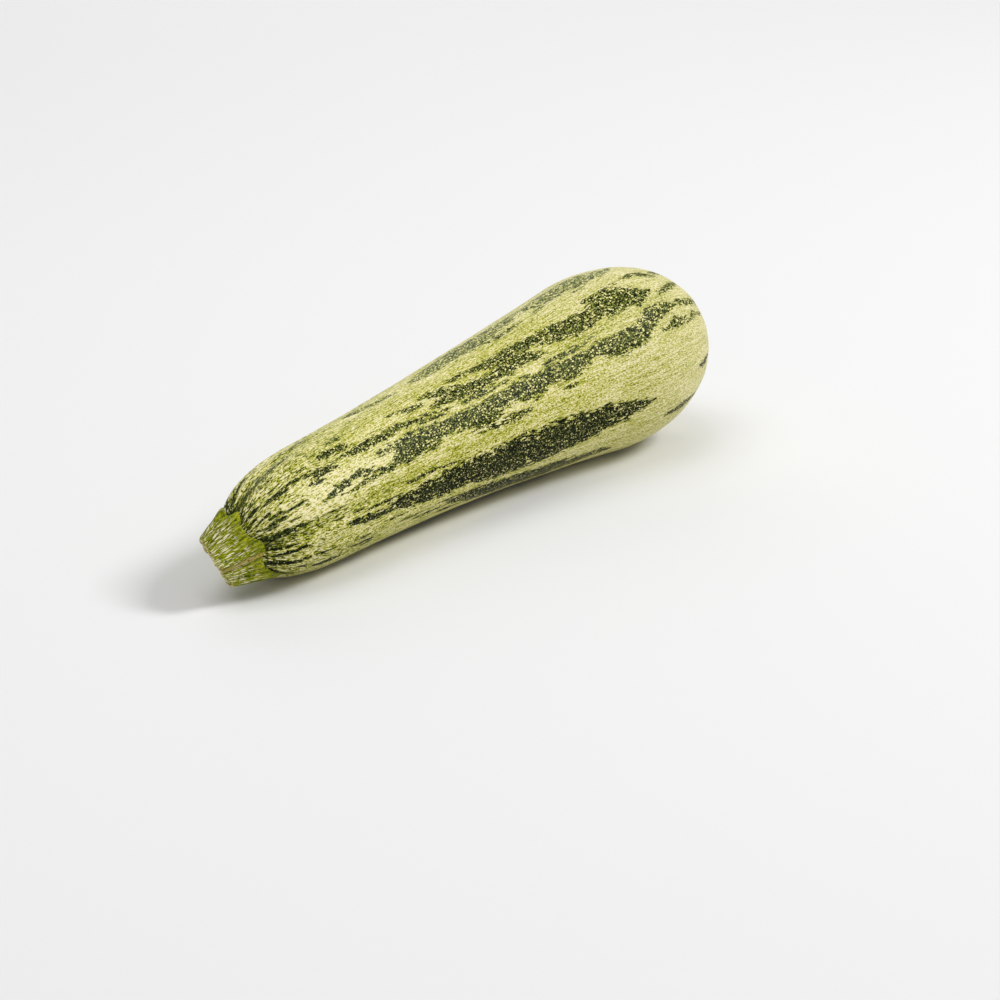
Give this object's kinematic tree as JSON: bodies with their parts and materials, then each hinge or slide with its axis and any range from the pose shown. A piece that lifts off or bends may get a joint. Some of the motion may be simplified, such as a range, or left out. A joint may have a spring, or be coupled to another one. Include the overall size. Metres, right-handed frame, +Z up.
{
  "type": "zucchini",
  "caption": "Whole pale green zucchini with mottled dark green stripes, a slim neck, a rounded bulb and the cut stub of its stalk, lying on its side.",
  "frame": {"origin": "middle of the footprint's box, on the surface that the fruit lies on", "axes": "+X along the fruit from the stalk to the blossom end, +Z up"},
  "size_m": [0.2412, 0.0636, 0.0628],
  "materials": {
    "skin": "waxy vegetable skin with a soft sheen, pale green with dark green mottled stripes and pale specks",
    "stalk": "fibrous olive green stalk with fine pale bristly ridges, matt",
    "dry_cut": "dried pale tan cut of the stalk and dry scar of the flower, matt"
  },
  "bodies": {
    "root": {"zucchini": "skin"}
  },
  "joints": []
}
